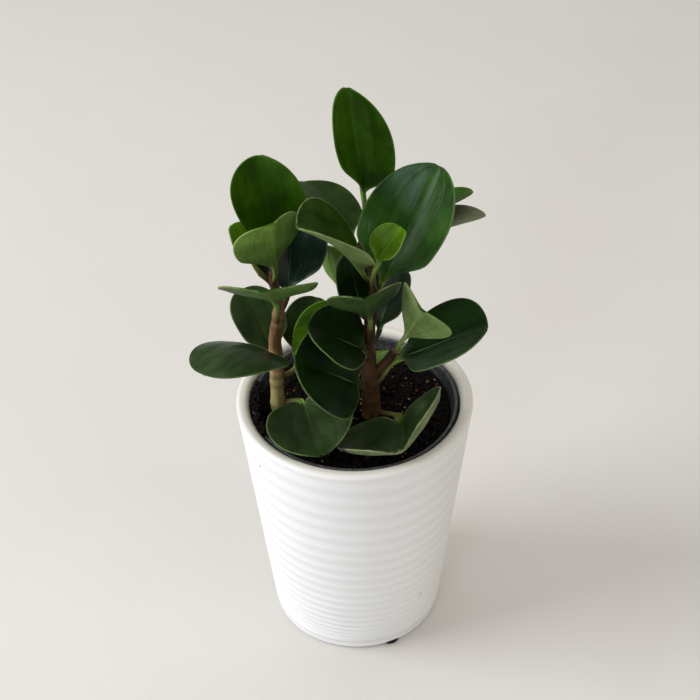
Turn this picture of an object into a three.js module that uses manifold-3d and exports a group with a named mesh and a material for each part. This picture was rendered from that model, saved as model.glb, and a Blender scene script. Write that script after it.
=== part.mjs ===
// A potted peperomia: two woody stems with thick spoon-shaped leaves, rooted in a black
// nursery pot that stands inside a white ribbed cover pot on three rubber pads.
// Millimetres, +Z up. The origin is the centre of the flat face that the pot stands on,
// and -Y is the front.
import * as THREE from 'three';
import { mergeVertices } from 'three/addons/utils/BufferGeometryUtils.js';
import Module from 'manifold-3d';

const wasm = await Module();
wasm.setup();

// ---- driving dimensions -------------------------------------------------------------

const coverPot = {
  height: 147, rimRadius: 62.5, footRadius: 46, footRounding: 3,
  lipWidth: 7, lipRounding: 3, floorThickness: 7, innerFootRadius: 39.5,
  ridges: 22, ridgeTop: 143.3, ridgeBottom: 7, ridgeSpread: 1.8, ridgeDepth: 0.7,
  segments: 36,
};
const footPad = { radius: 5, thickness: 1.8, atRadius: 41.5, firstAngle: -65, clearance: 0.3, sides: 12 };
const nurseryPot = {
  rimTop: 144.6, rimRadius: 54.3, rimHeight: 8, rimStep: 2, wall: 1.3,
  shoulderRadius: 51.5, footRadius: 42, footHeight: 35, segments: 32,
  drainHoles: 6, drainRadius: 4, drainRing: 26, drainSides: 8,
};
const soil = { level: 138.5, crown: 2, unevenness: 1.1, clearance: 0.3, rings: 4, segments: 28 };
const holeClearance = 0.3;
const gapToStem = 0.3;

// A stem is a line of points on its axis, each with the stem's radius there.
const stemSides = 8;
const swelling = { height: 0.5, spread: 2.6 };
const stems = {
  left: {
    axis: [
      [-39, 0, 112, 3.5], [-40, -2, 138, 3.8], [-40.3, -2, 158, 3.5], [-40, -2, 170, 3.5],
      [-40.2, -2, 187, 3.3], [-38.4, -2, 200, 3.0], [-37.2, -2, 213, 2.5], [-39.6, -2, 224, 2.2],
      [-39.8, -2, 231, 1.8],
    ],
  },
  right: {
    axis: [
      [9, -6, 108, 4.4], [9, -7, 138, 4.9], [8.4, -7, 154, 4.6], [8, -7, 167, 4.2],
      [7.6, -7, 184, 3.0], [7.8, -7, 197, 2.8], [9.3, -7, 210, 2.7], [10.4, -4.5, 220, 2.6],
      [8.8, 1, 228.5, 2.3], [5.4, 7, 235, 1.9], [3.4, 10.5, 239, 1.1],
    ],
  },
};
const sideShoot = {
  axis: [[8.5, -7, 163, 2.2], [10.8, -7.4, 169, 2.2], [17.3, -8, 178.4, 2.2], [20.2, -8, 184, 1.9]],
};

// Each leaf: where its petiole leaves the stem, where its blade starts, which way the blade
// heads (degrees round from +X), how steeply it rises and how it is rolled, its length and
// width, the fold of its halves up from the midrib, their cup, the bend of the midrib, the
// skew that sets one half ahead of the other, and how far along it is widest. Some of the
// lower leaves have a heart-shaped base: their halves reach back past the petiole by their lobes.
const leaves = [
  { name: 'left_leaf_01', stem: 'left', joint: 229, base: [-38.5, 3, 241], heading: 130, rise: 78,
    roll: -20, length: 51, width: 40, fold: 20, cup: 14, bend: 0, skew: -14, widest: 0.6, tone: 'mature' },
  { name: 'left_leaf_02', stem: 'left', joint: 225, base: [-38, -6, 234], heading: -90, rise: 64,
    roll: 30, length: 48, width: 38, fold: 20, cup: 3, bend: 0, skew: 4, widest: 0.56, tone: 'young' },
  { name: 'left_leaf_03', stem: 'left', joint: 224, base: [-50, -0.5, 238.5], heading: 134, rise: 58,
    roll: 10, length: 19, width: 17, fold: 11, cup: 5, bend: 16, skew: 0, widest: 0.56, tone: 'young' },
  { name: 'left_leaf_04', stem: 'left', joint: 203, base: [-33, 6, 212], heading: 68, rise: 77,
    roll: 22, length: 46, width: 38, fold: 16, cup: 7, bend: 8, skew: 10, widest: 0.56, tone: 'mature' },
  { name: 'left_leaf_05', stem: 'left', joint: 198, base: [-38.5, -9, 216], heading: -97, rise: 48,
    roll: 6, length: 47, width: 49, fold: 10, cup: 3, bend: 6, skew: 0, widest: 0.62, tone: 'mature' },
  { name: 'left_leaf_06', stem: 'left', joint: 166, base: [-41.5, 5, 171], heading: 122, rise: 44,
    roll: -2, length: 39, width: 29, fold: 14, cup: 5, bend: 10, skew: 0, widest: 0.56, tone: 'mature' },
  { name: 'left_leaf_07', stem: 'left', joint: 172, base: [-38, -9, 179], heading: -148, rise: 60,
    roll: 18, length: 58, width: 46, fold: -2, cup: -9, bend: 76, skew: 3, widest: 0.56, tone: 'mature' },
  { name: 'left_leaf_08', stem: 'left', joint: 160, base: [-28.5, 10.5, 163.5], heading: 63, rise: 54,
    roll: 24, length: 34, width: 28, fold: 14, cup: 6, bend: 10, skew: 0, widest: 0.56, tone: 'mature' },
  { name: 'left_leaf_09', stem: 'left', joint: 146, base: [-27, -9, 150], heading: -75, rise: 3,
    roll: 13, length: 41, width: 49, fold: 17, cup: 13, bend: 7, skew: -2, widest: 0.56,
    lobes: [4, 4], tone: 'mature' },
  { name: 'right_leaf_01', stem: 'right', joint: 237, base: [5.8, 28, 255.6], heading: 130, rise: 79,
    roll: -20, length: 57.5, width: 41.5, fold: 34, cup: 22, bend: 2, skew: -20, widest: 0.56,
    tone: 'mature' },
  { name: 'right_leaf_02', stem: 'right', joint: 216, base: [14, -2, 222], heading: 37, rise: 52,
    roll: 14, length: 67, width: 51.5, fold: 19, cup: 11, bend: -13, skew: 7, widest: 0.53,
    tone: 'mature' },
  { name: 'right_leaf_03', stem: 'right', joint: 225, base: [5, -11, 236], heading: -138, rise: 61,
    roll: -18, length: 59, width: 42, fold: 28, cup: 7, bend: 24, skew: 0, widest: 0.6, tone: 'mature' },
  { name: 'right_leaf_04', stem: 'right', joint: 218, base: [12, -12, 242], heading: 38, rise: 50,
    roll: -7, length: 21.5, width: 23, fold: 19, cup: 8, bend: 15, skew: 0, widest: 0.56, tone: 'young' },
  { name: 'right_leaf_05', stem: 'right', joint: 233, base: [0, 14.3, 238.8], heading: 120, rise: 36,
    roll: 26, length: 42.5, width: 33.5, fold: 9, cup: 3, bend: 39, skew: -4, widest: 0.56, tone: 'mature' },
  { name: 'right_leaf_06', stem: 'right', joint: 205, base: [15, 18, 234.6], heading: 28, rise: 20,
    roll: -20, length: 53, width: 24, fold: 12, cup: 3, bend: 10, skew: 0, widest: 0.56, tone: 'young' },
  { name: 'right_leaf_07', stem: 'right', joint: 210, base: [22, 13, 234], heading: 22, rise: 22,
    roll: -20, length: 48, width: 32, fold: 11, cup: 2, bend: 23, skew: 0, widest: 0.56, tone: 'mature' },
  { name: 'right_leaf_08', stem: 'right', joint: 203, base: [3, -4, 208], heading: 118, rise: 72,
    roll: 0, length: 31, width: 24, fold: 15, cup: 5, bend: 6, skew: 5, widest: 0.56, tone: 'mature' },
  { name: 'right_leaf_09', stem: 'right', joint: 196, base: [8.3, -12.5, 208.5], heading: -96, rise: 54,
    roll: 17, length: 44, width: 39.5, fold: 17, cup: 8, bend: 6, skew: 0, widest: 0.6, tone: 'mature' },
  { name: 'right_leaf_10', stem: 'right', joint: 184, base: [13, 2, 189], heading: 62, rise: 50,
    roll: -22, length: 34, width: 30, fold: 13, cup: 6, bend: 13, skew: 0, widest: 0.56, tone: 'mature' },
  { name: 'right_leaf_11', stem: 'shoot', joint: 183, base: [24, -17.5, 198], heading: -59, rise: 58,
    roll: -74, length: 55.5, width: 35, fold: 16, cup: 3, bend: 20, skew: -4, widest: 0.74, tone: 'young' },
  { name: 'right_leaf_12', stem: 'right', joint: 160, base: [23, -9, 179], heading: -16, rise: 35,
    roll: 14, length: 54.5, width: 44, fold: 15, cup: 5, bend: 1, skew: -1, widest: 0.56, tone: 'mature' },
  { name: 'right_leaf_13', stem: 'right', joint: 184, base: [3.8, -14, 190], heading: -160, rise: 39,
    roll: -20, length: 37, width: 42, fold: 11, cup: 2, bend: -4, skew: -16, widest: 0.38,
    lobes: [1, 5], tone: 'mature' },
  { name: 'right_leaf_14', stem: 'right', joint: 163, base: [1.3, -16.8, 169], heading: -156, rise: 41,
    roll: -41, length: 45.5, width: 50, fold: 13, cup: 4, bend: -2, skew: 0, widest: 0.45,
    lobes: [3, 3], tone: 'mature' },
  { name: 'right_leaf_15', stem: 'right', joint: 143, base: [24, -17.5, 144.5], heading: -83, rise: 3,
    roll: 29, length: 43, width: 70, fold: 15, cup: 23, bend: -38, skew: 0, widest: 0.5,
    lobes: [6, 1.5], tone: 'mature' },
  { name: 'right_leaf_16', stem: 'right', joint: 182, base: [2, 4.5, 188], heading: 190, rise: -2,
    roll: -44, length: 34, width: 35, fold: 16, cup: 6, bend: 16, skew: -14, widest: 0.56, tone: 'young' },
  { name: 'right_leaf_17', stem: 'right', joint: 194, base: [-6, 13.5, 204], heading: -125, rise: 84,
    roll: 8, length: 34, width: 22, fold: 14, cup: 4, bend: 8, skew: 0, widest: 0.56, tone: 'young' },
  { name: 'right_leaf_18', stem: 'right', joint: 152, base: [12, 5, 160], heading: 74, rise: 0,
    roll: -28, length: 24, width: 24, fold: 12, cup: 3, bend: 26, skew: 0, widest: 0.56, tone: 'young' },
];
const blade = { stations: 8, halfColumns: 2, midThickness: 1.3, rimThickness: 0.8, tipPower: 0.46,
  firstStation: 0.03, lastStation: 0.99, funnelFold: 35, funnelLength: 0.35,
  neckWidth: 0.25, neckLength: 0.3, lobeStart: 0.03, lobePeak: 0.12, lobeEnd: 0.5 };
const petiole = { rootRadius: 1.7, bladeRadius: 1.3, steps: 4, sides: 6, overlap: 4 };

// ---- materials ----------------------------------------------------------------------

const material = (color, roughness) => new THREE.MeshStandardMaterial({ color, roughness, metalness: 0 });
const glazedEarthenware = material('#e9e7e3', 0.45);
const blackPolypropylene = material('#1b1c1d', 0.4);
const blackRubber = material('#121212', 0.8);
const pottingMix = material('#17110d', 0.95);
const woodyStem = material('#6a4633', 0.6);
const matureLeaf = material('#1d3a1c', 0.35);
const youngLeaf = material('#5f8a2f', 0.4);

// ---- mesh and solid helpers ---------------------------------------------------------

const radians = (degrees) => THREE.MathUtils.degToRad(degrees);

function toSolid(geometry) {
  const bare = geometry.clone();
  for (const name of Object.keys(bare.attributes)) {
    if (name !== 'position') bare.deleteAttribute(name);
  }
  const merged = mergeVertices(bare, 1e-4);
  return new wasm.Manifold(new wasm.Mesh({
    numProp: 3,
    vertProperties: new Float32Array(merged.attributes.position.array),
    triVerts: new Uint32Array(merged.index.array),
  }));
}

function toGeometry(solid) {
  const mesh = solid.getMesh();
  const geometry = new THREE.BufferGeometry();
  geometry.setAttribute('position', new THREE.BufferAttribute(new Float32Array(mesh.vertProperties), 3));
  geometry.setIndex(new THREE.BufferAttribute(new Uint32Array(mesh.triVerts), 1));
  geometry.computeVertexNormals();
  return geometry;
}

function named(name, geometry, finish) {
  const mesh = new THREE.Mesh(geometry, finish);
  mesh.name = name;
  return mesh;
}

// A lathe turned round the Z axis from [radius, height] points.
function turned(points, segments) {
  const outline = points.map(([radius, height]) => new THREE.Vector2(radius, height));
  return new THREE.LatheGeometry(outline, segments).rotateX(Math.PI / 2);
}

// A closed tube along a curve, whose radius may change: radiusAt(fraction of the length).
function taperedTube(curve, steps, sides, radiusAt) {
  const frames = curve.computeFrenetFrames(steps, false);
  const positions = [];
  for (let i = 0; i <= steps; i++) {
    const centre = curve.getPointAt(i / steps);
    for (let j = 0; j < sides; j++) {
      const angle = (2 * Math.PI * j) / sides;
      const spoke = frames.normals[i].clone().multiplyScalar(Math.cos(angle))
        .addScaledVector(frames.binormals[i], Math.sin(angle));
      positions.push(...spoke.multiplyScalar(radiusAt(i / steps)).add(centre).toArray());
    }
  }
  const ends = [0, steps].map((i) => {
    positions.push(...curve.getPointAt(i / steps).toArray());
    return positions.length / 3 - 1;
  });
  const index = [];
  for (let j = 0; j < sides; j++) {
    const next = (j + 1) % sides;
    for (let i = 0; i < steps; i++) {
      const [a, b] = [i * sides + j, i * sides + next];
      index.push(a, b, b + sides, a, b + sides, a + sides);
    }
    index.push(ends[0], next, j, ends[1], steps * sides + j, steps * sides + next);
  }
  const geometry = new THREE.BufferGeometry();
  geometry.setAttribute('position', new THREE.Float32BufferAttribute(positions, 3));
  geometry.setIndex(index);
  return geometry;
}

// ---- cover pot ----------------------------------------------------------------------

// The thrown ridges lie close together at the foot and spread out towards the rim.
function ridgeHeight(number) {
  const { ridges, ridgeTop, ridgeBottom, ridgeSpread } = coverPot;
  return ridgeBottom + (ridgeTop - ridgeBottom) * (number / ridges) ** ridgeSpread;
}

function wallRadius(height) {
  const { height: top, rimRadius, footRadius } = coverPot;
  return footRadius + (rimRadius - footRadius) * (height / top);
}

function arc(centre, radius, from, to, steps) {
  return Array.from({ length: steps + 1 }, (_, i) => {
    const angle = radians(from + ((to - from) * i) / steps);
    return [centre[0] + radius * Math.cos(angle), centre[1] + radius * Math.sin(angle)];
  });
}

function coverPotSolid() {
  const p = coverPot;
  const outline = [[0, 0]];
  outline.push(...arc([p.footRadius - p.footRounding, p.footRounding], p.footRounding, -90, 0, 2));
  for (let n = 0; n < p.ridges; n++) {
    const groove = ridgeHeight(n);
    const crest = (groove + ridgeHeight(n + 1)) / 2;
    outline.push([wallRadius(groove) - p.ridgeDepth, groove], [wallRadius(crest), crest]);
  }
  outline.push([wallRadius(p.ridgeTop) - p.ridgeDepth, p.ridgeTop]);
  const lip = p.lipRounding;
  outline.push(...arc([p.rimRadius - lip, p.height - lip], lip, 30, 90, 2));
  outline.push(...arc([p.rimRadius - p.lipWidth + lip, p.height - lip], lip, 90, 180, 2));
  outline.push([p.innerFootRadius, p.floorThickness + 4], [p.innerFootRadius - 4, p.floorThickness]);
  outline.push([0, p.floorThickness]);
  return toSolid(turned(outline, p.segments));
}

function padDisc(radius, thickness) {
  return new THREE.CylinderGeometry(radius, radius, thickness, footPad.sides)
    .rotateX(Math.PI / 2).translate(0, 0, thickness / 2);
}

const padPlaces = [0, 120, 240].map((turn) => {
  const angle = radians(footPad.firstAngle + turn);
  return [footPad.atRadius * Math.cos(angle), footPad.atRadius * Math.sin(angle), 0];
});

// ---- nursery pot and soil -----------------------------------------------------------

function nurseryInnerRadius(height) {
  const p = nurseryPot;
  const rise = (height - p.footHeight) / (p.rimTop - p.rimHeight - p.footHeight);
  return p.footRadius + (p.shoulderRadius - p.footRadius) * rise - p.wall;
}

function nurseryPotSolid() {
  const p = nurseryPot;
  const shoulder = p.rimTop - p.rimHeight;
  const outline = [
    [0, p.footHeight], [p.footRadius - 1, p.footHeight], [p.footRadius, p.footHeight + 1],
    [p.shoulderRadius, shoulder], [p.rimRadius - 0.8, shoulder + 0.6], [p.rimRadius, p.rimTop - 1.5],
    [p.rimRadius - 0.9, p.rimTop], [p.rimRadius - p.rimStep, p.rimTop - 0.4],
    [p.rimRadius - p.rimStep - 0.8, p.rimTop - 3], [nurseryInnerRadius(shoulder), shoulder + 0.8],
    [nurseryInnerRadius(p.footHeight + 2), p.footHeight + p.wall + 0.6],
    [p.footRadius - p.wall - 1, p.footHeight + p.wall], [0, p.footHeight + p.wall],
  ];
  let solid = toSolid(turned(outline, p.segments));
  for (let n = 0; n < p.drainHoles; n++) {
    const angle = (2 * Math.PI * n) / p.drainHoles;
    const drill = new THREE.CylinderGeometry(p.drainRadius, p.drainRadius, 6 * p.wall, p.drainSides)
      .rotateX(Math.PI / 2)
      .translate(p.drainRing * Math.cos(angle), p.drainRing * Math.sin(angle), p.footHeight);
    solid = solid.subtract(toSolid(drill));
  }
  return solid;
}

function soilHeight(x, y) {
  const reach = Math.hypot(x, y) / nurseryPot.shoulderRadius;
  const lumps = Math.sin(x * 0.21 + 1.3) * Math.cos(y * 0.17 - 0.6) + 0.5 * Math.sin(x * 0.43 - y * 0.37);
  return soil.level + soil.crown * (1 - reach ** 2) + soil.unevenness * lumps * (1 - reach ** 4);
}

function soilSolid() {
  const s = soil;
  const bottom = nurseryPot.footHeight + nurseryPot.wall + s.clearance;
  const topRadius = nurseryInnerRadius(s.level) - s.clearance;
  const bottomRadius = nurseryInnerRadius(bottom) - s.clearance - 1;
  const positions = [];
  for (let i = 1; i <= s.rings; i++) {
    for (let j = 0; j < s.segments; j++) {
      const angle = (2 * Math.PI * j) / s.segments;
      const reach = topRadius * (i / s.rings);
      const [x, y] = [reach * Math.cos(angle), reach * Math.sin(angle)];
      positions.push(x, y, soilHeight(x, y));
    }
  }
  for (let j = 0; j < s.segments; j++) {
    const angle = (2 * Math.PI * j) / s.segments;
    positions.push(bottomRadius * Math.cos(angle), bottomRadius * Math.sin(angle), bottom);
  }
  const crown = positions.push(0, 0, soilHeight(0, 0)) / 3 - 1;
  const underside = positions.push(0, 0, bottom) / 3 - 1;
  const index = [];
  for (let j = 0; j < s.segments; j++) {
    const next = (j + 1) % s.segments;
    index.push(crown, j, next);
    for (let i = 0; i < s.rings; i++) {
      const [a, b] = [i * s.segments + j, i * s.segments + next];
      index.push(a, a + s.segments, b + s.segments, a, b + s.segments, b);
    }
    index.push(underside, s.rings * s.segments + next, s.rings * s.segments + j);
  }
  const geometry = new THREE.BufferGeometry();
  geometry.setAttribute('position', new THREE.Float32BufferAttribute(positions, 3));
  geometry.setIndex(index);
  return toSolid(geometry);
}

// ---- stems --------------------------------------------------------------------------

function axisCurve(axis) {
  return new THREE.CatmullRomCurve3(axis.map(([x, y, z]) => new THREE.Vector3(x, y, z)));
}

function radiusOnAxis(axis, height) {
  const upper = axis.findIndex(([, , z], i) => i > 0 && (z >= height || i === axis.length - 1));
  const [below, above] = [axis[upper - 1], axis[upper]];
  const share = THREE.MathUtils.clamp((height - below[2]) / (above[2] - below[2]), 0, 1);
  return below[3] + (above[3] - below[3]) * share;
}

// The stem thickens into a ring wherever a petiole leaves it.
function stemSolid(name, extra) {
  const axis = name === 'shoot' ? sideShoot.axis : stems[name].axis;
  const joints = leaves.filter((leaf) => leaf.stem === name).map((leaf) => leaf.joint);
  const curve = axisCurve(axis);
  const steps = Math.ceil(curve.getLength() / 5.5);
  const radiusAt = (fraction) => {
    const height = curve.getPointAt(fraction).z;
    const rings = joints.map((z) => Math.exp(-(((height - z) / swelling.spread) ** 2)));
    return radiusOnAxis(axis, height) + swelling.height * Math.max(0, ...rings) + extra;
  };
  return toSolid(taperedTube(curve, steps, stemSides, radiusAt));
}

function pointOnStem(name, height) {
  const curve = axisCurve(name === 'shoot' ? sideShoot.axis : stems[name].axis);
  let [low, high] = [0, 1];
  for (let i = 0; i < 30; i++) {
    const middle = (low + high) / 2;
    if (curve.getPointAt(middle).z < height) low = middle;
    else high = middle;
  }
  return curve.getPointAt(low);
}

// ---- leaves -------------------------------------------------------------------------

// Half the blade's width at a fraction of its length: narrow neck, wedge base, blunt round tip.
function halfWidth(leaf, fraction) {
  const { width, widest } = leaf;
  const basePower = (blade.tipPower * widest) / (1 - widest);
  const opening = THREE.MathUtils.smoothstep(fraction, 0, blade.neckLength);
  const neck = blade.neckWidth + (1 - blade.neckWidth) * opening;
  return (width / 2) * neck * (fraction / widest) ** basePower
    * ((1 - fraction) / (1 - widest)) ** blade.tipPower;
}

function lobeReach(leaf, fraction, side) {
  const [plus, minus] = leaf.lobes ?? [0, 0];
  const outward = THREE.MathUtils.smoothstep(Math.abs(side), 0.1, 1);
  const { lobeStart, lobePeak, lobeEnd } = blade;
  const share = THREE.MathUtils.smoothstep(fraction, lobeStart, lobePeak)
    * (1 - THREE.MathUtils.smoothstep(fraction, lobePeak, lobeEnd));
  return (side > 0 ? plus : minus) * outward * share;
}

// A point of the blade's middle surface, in the leaf's own frame: +X along the blade,
// +Z out of its upper face. side runs from -1 to 1 across it.
function bladePoint(leaf, fraction, side) {
  const bend = radians(leaf.bend || 0.01);
  const along = (leaf.length * Math.sin(bend * fraction)) / bend - lobeReach(leaf, fraction, side);
  const drop = (-leaf.length * (1 - Math.cos(bend * fraction))) / bend;
  const funnel = blade.funnelFold * Math.max(0, 1 - fraction / blade.funnelLength) ** 2;
  const tilt = radians(leaf.fold + funnel + (leaf.cup * Math.abs(side)) / 2);
  const reach = Math.abs(side) * halfWidth(leaf, fraction);
  const lift = reach * Math.sin(tilt);
  const slip = Math.sign(side) * reach * Math.sin(radians(leaf.skew));
  return new THREE.Vector3(
    along + lift * Math.sin(bend * fraction) + slip * Math.cos(bend * fraction),
    -Math.sign(side) * reach * Math.cos(tilt),
    drop + lift * Math.cos(bend * fraction) - slip * Math.sin(bend * fraction),
  );
}

function bladeGeometry(leaf) {
  const rows = blade.stations;
  const columns = 2 * blade.halfColumns;
  const station = (i) => blade.firstStation
    + (blade.lastStation - blade.firstStation) * (1 - Math.cos(Math.PI * (i / rows))) / 2;
  const sideOf = (j) => (j - blade.halfColumns) / blade.halfColumns;
  const positions = [];
  for (const face of [1, -1]) {
    for (let i = 0; i <= rows; i++) {
      for (let j = 0; j <= columns; j++) {
        const [t, u] = [station(i), sideOf(j)];
        const lengthwise = bladePoint(leaf, t + 0.004, u).sub(bladePoint(leaf, t - 0.004, u));
        const crosswise = bladePoint(leaf, t, u - 0.2).sub(bladePoint(leaf, t, u + 0.2));
        const normal = lengthwise.cross(crosswise).normalize();
        const thickness = blade.midThickness + (blade.rimThickness - blade.midThickness) * Math.abs(u);
        positions.push(...bladePoint(leaf, t, u).addScaledVector(normal, (face * thickness) / 2).toArray());
      }
    }
  }
  const width = columns + 1;
  const under = (rows + 1) * width;
  const index = [];
  const quad = (a, b, c, d) => index.push(a, b, c, a, c, d);
  for (let i = 0; i < rows; i++) {
    for (let j = 0; j < columns; j++) {
      const [a, b, c, d] = [i * width + j, i * width + j + 1, (i + 1) * width + j + 1, (i + 1) * width + j];
      if (j < blade.halfColumns) {
        index.push(a, b, d, b, c, d);
        index.push(under + a, under + d, under + b, under + b, under + d, under + c);
      } else {
        index.push(a, b, c, a, c, d);
        index.push(under + a, under + c, under + b, under + a, under + d, under + c);
      }
    }
    quad(i * width, (i + 1) * width, under + (i + 1) * width, under + i * width);
    quad(i * width + columns, under + i * width + columns, under + (i + 1) * width + columns,
      (i + 1) * width + columns);
  }
  for (let j = 0; j < columns; j++) {
    quad(j, under + j, under + j + 1, j + 1);
    quad(rows * width + j, rows * width + j + 1, under + rows * width + j + 1, under + rows * width + j);
  }
  const geometry = new THREE.BufferGeometry();
  geometry.setAttribute('position', new THREE.Float32BufferAttribute(positions, 3));
  geometry.setIndex(index);
  return geometry;
}

function leafPlacement(leaf) {
  const turn = new THREE.Euler(radians(leaf.roll), -radians(leaf.rise), radians(leaf.heading), 'ZYX');
  return new THREE.Matrix4().makeRotationFromEuler(turn).setPosition(...leaf.base);
}

// The petiole leaves the stem's axis, bends over and runs into the start of the blade.
function petioleGeometry(leaf, placement) {
  const root = pointOnStem(leaf.stem, leaf.joint);
  const start = new THREE.Vector3().applyMatrix4(placement);
  const heading = new THREE.Vector3(1, 0, 0).transformDirection(placement);
  const reach = start.distanceTo(root) * 0.4;
  const outward = new THREE.Vector3(start.x - root.x, start.y - root.y, (start.z - root.z) * 0.5).normalize();
  const curve = new THREE.CubicBezierCurve3(
    root,
    root.clone().addScaledVector(outward, reach),
    start.clone().addScaledVector(heading, -reach),
    start.clone().addScaledVector(heading, petiole.overlap),
  );
  const { rootRadius, bladeRadius } = petiole;
  const radiusAt = (fraction) => rootRadius + (bladeRadius - rootRadius) * fraction ** 0.5;
  return taperedTube(curve, petiole.steps, petiole.sides, radiusAt);
}

function leafMesh(leaf, stemWithGap) {
  const placement = leafPlacement(leaf);
  const grown = toSolid(bladeGeometry(leaf).applyMatrix4(placement))
    .add(toSolid(petioleGeometry(leaf, placement)))
    .subtract(stemWithGap[leaf.stem]);
  const mesh = named(leaf.name, toGeometry(grown), leaf.tone === 'young' ? youngLeaf : matureLeaf);
  mesh.geometry.applyMatrix4(placement.clone().invert());
  mesh.applyMatrix4(placement);
  return mesh;
}

// ---- assembly -----------------------------------------------------------------------

const group = new THREE.Group();

let potBody = coverPotSolid();
padPlaces.forEach((place, number) => {
  const { radius, thickness, clearance } = footPad;
  const recess = padDisc(radius + clearance, thickness + clearance + 1).translate(0, 0, -1);
  potBody = potBody.subtract(toSolid(recess.translate(...place)));
  const pad = named(`foot_pad_${number + 1}`, padDisc(radius, thickness), blackRubber);
  pad.position.set(...place);
  group.add(pad);
});
group.add(named('cover_pot', toGeometry(potBody), glazedEarthenware));
group.add(named('nursery_pot', toGeometry(nurseryPotSolid()), blackPolypropylene));

const stemBodies = {
  left: stemSolid('left', 0),
  right: stemSolid('right', 0).add(stemSolid('shoot', 0)),
};
const stemWithGap = {
  left: stemSolid('left', gapToStem),
  right: stemSolid('right', gapToStem).add(stemSolid('shoot', gapToStem)),
};
stemWithGap.shoot = stemWithGap.right;
const holes = stemSolid('left', holeClearance).add(stemSolid('right', holeClearance));
group.add(named('soil', toGeometry(soilSolid().subtract(holes)), pottingMix));
group.add(named('left_stem', toGeometry(stemBodies.left), woodyStem));
group.add(named('right_stem', toGeometry(stemBodies.right), woodyStem));
for (const leaf of leaves) group.add(leafMesh(leaf, stemWithGap));

export default group;
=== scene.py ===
import random
from math import cos, exp, hypot, pi, radians, sin, sqrt

import bmesh
import bpy
import numpy as np
from mathutils import Matrix, Vector, noise


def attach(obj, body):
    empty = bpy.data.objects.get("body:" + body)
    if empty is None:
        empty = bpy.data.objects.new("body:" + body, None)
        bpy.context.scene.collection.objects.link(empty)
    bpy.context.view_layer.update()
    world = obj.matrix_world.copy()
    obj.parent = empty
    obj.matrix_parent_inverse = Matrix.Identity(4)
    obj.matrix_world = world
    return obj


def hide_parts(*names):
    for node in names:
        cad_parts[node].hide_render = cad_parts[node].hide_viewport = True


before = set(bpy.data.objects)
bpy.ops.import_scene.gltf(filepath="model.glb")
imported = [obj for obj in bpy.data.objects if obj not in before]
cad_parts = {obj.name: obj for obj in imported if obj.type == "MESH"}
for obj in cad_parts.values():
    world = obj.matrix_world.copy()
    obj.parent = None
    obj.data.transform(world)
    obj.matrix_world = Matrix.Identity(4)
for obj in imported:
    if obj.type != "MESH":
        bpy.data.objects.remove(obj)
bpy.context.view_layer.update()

# Potted peperomia, dressed around its solids. All sizes below are in millimetres
# and turned to metres where the meshes are made. +Z is up and -Y is the front.
scene = bpy.context.scene
mm = 0.001
print("frame loaded:", len(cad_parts), "nodes")


# small helpers
def toLinear(hexColour):
    values = [int(hexColour[i:i + 2], 16) / 255 for i in (1, 3, 5)]
    return [v / 12.92 if v <= 0.04045 else ((v + 0.055) / 1.055) ** 2.4 for v in values] + [1.0]


def addNode(tree, kind, inputs=None, **settings):
    # An input may be a value, a hex colour, a socket, or a node that stands for its own result.
    # By number: 0 value or share, 1 and 2 from, 3 and 4 to (MapRange), 6 and 7 the two colours (Mix).
    node = tree.nodes.new("ShaderNode" + kind)
    if kind == "Mix":
        node.data_type = "RGBA"
    for name, value in settings.items():
        setattr(node, name, value)
    for key, value in (inputs or {}).items():
        if isinstance(value, bpy.types.Node):
            value = value.outputs[2 if value.bl_idname == "ShaderNodeMix" else 0]
        if isinstance(value, bpy.types.NodeSocket):
            tree.links.new(value, node.inputs[key])
        else:
            node.inputs[key].default_value = toLinear(value) if isinstance(value, str) else value
    return node


def newMaterial(name):
    material = bpy.data.materials.new(name)
    material.use_nodes = True
    tree = material.node_tree
    tree.nodes.clear()
    return material, tree, addNode(tree, "TexCoord").outputs["Object"]


def finished(material, shader):
    addNode(material.node_tree, "OutputMaterial", {"Surface": shader})
    return material


def setStops(ramp, positions, colours):
    stops = ramp.color_ramp.elements
    while len(stops) < len(colours):
        stops.new(0.5)
    for stop, position, colour in zip(stops, positions, colours):
        stop.position = position
        stop.color = toLinear(colour)


def newMesh(name, points, faces):
    mesh = bpy.data.meshes.new(name)
    mesh.from_pydata([tuple(p) for p in np.asarray(points) * mm], [], faces)
    return mesh


def newObject(name, data):
    thing = bpy.data.objects.new(name, data)
    scene.collection.objects.link(thing)
    return thing


def addPiece(name, points, faces, materials, replaced=(), faceSlots=None, maps=None):
    mesh = newMesh(name, points, faces)
    for material in materials:
        mesh.materials.append(material)
    if faceSlots is not None:
        mesh.polygons.foreach_set("material_index", faceSlots)
    mesh.polygons.foreach_set("use_smooth", [True] * len(mesh.polygons))
    corners = np.zeros(len(mesh.loops), np.int32)
    mesh.loops.foreach_get("vertex_index", corners)
    for mapName, values in (maps or {}).items():
        layer = mesh.uv_layers.new(name=mapName)
        layer.data.foreach_set("uv", np.asarray(values, np.float32)[corners].ravel())
    mesh.update()
    piece = newObject(name, mesh)
    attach(piece, "root")
    if replaced:
        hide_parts(*replaced)
    return piece


def loftFaces(rows, ringSize):
    faces = []
    for i in range(rows - 1):
        for k in range(ringSize):
            a, b = i * ringSize + k, i * ringSize + (k + 1) % ringSize
            faces.append((a, b, b + ringSize, a + ringSize))
    last = (rows - 1) * ringSize
    return faces + [tuple(reversed(range(ringSize))), tuple(range(last, last + ringSize))]


def polar(radius, angle, centre=(0, 0)):
    return centre[0] + radius * cos(angle), centre[1] + radius * sin(angle)


def ringPoints(outline, around, centre=(0, 0)):
    turns = [2 * pi * k / around for k in range(around)]
    return [(*polar(radius, turn, centre), z) for radius, z in outline for turn in turns]


def arc(centre, radius, first, last, steps=8):
    return [polar(radius, radians(first + (last - first) * i / steps), centre) for i in range(steps + 1)]


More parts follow.
